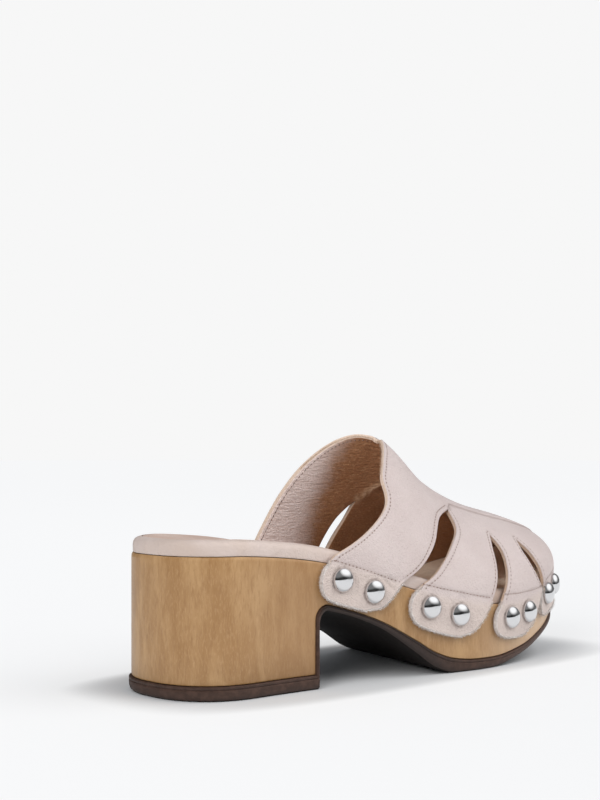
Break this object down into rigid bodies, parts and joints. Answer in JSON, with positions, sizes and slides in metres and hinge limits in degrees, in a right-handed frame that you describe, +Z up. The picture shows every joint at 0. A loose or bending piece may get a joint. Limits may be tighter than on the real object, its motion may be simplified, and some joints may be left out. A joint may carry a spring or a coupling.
{
  "type": "heeled mule",
  "caption": "Heeled mule for the right foot: wooden sole on a rubber outsole, padded footbed, and a slotted leather upper whose tabs are nailed over the sole edge with domed studs.",
  "frame": {"origin": "floor level under the middle of the shoe's box", "axes": "+X from heel to toe, +Z up, -Y towards the outer (lateral) side of the right foot"},
  "size_m": [0.25, 0.102, 0.1077],
  "materials": {
    "leather": "pale pink-grey fine pebbled leather, semi-matt, raw at the tabs",
    "footbed_leather": "cream leather over padding, semi-matt",
    "wood": "light brown wood, satin varnish, upright grain streaks",
    "rubber": "dark brown rubber, matt",
    "chrome": "polished mirror"
  },
  "bodies": {
    "root": {"outsole": "rubber", "wooden_sole": "wood", "footbed": "footbed_leather", "upper": "leather", "stud_lateral_1_1": "chrome", "stud_lateral_1_2": "chrome", "stud_lateral_2_1": "chrome", "stud_lateral_2_2": "chrome", "stud_lateral_3_1": "chrome", "stud_lateral_3_2": "chrome", "stud_lateral_4_1": "chrome", "stud_lateral_4_2": "chrome", "stud_medial_1_1": "chrome", "stud_medial_1_2": "chrome", "stud_medial_2_1": "chrome", "stud_medial_2_2": "chrome", "stud_medial_3_1": "chrome", "stud_medial_3_2": "chrome", "stud_medial_4_1": "chrome", "stud_medial_4_2": "chrome"}
  },
  "joints": []
}
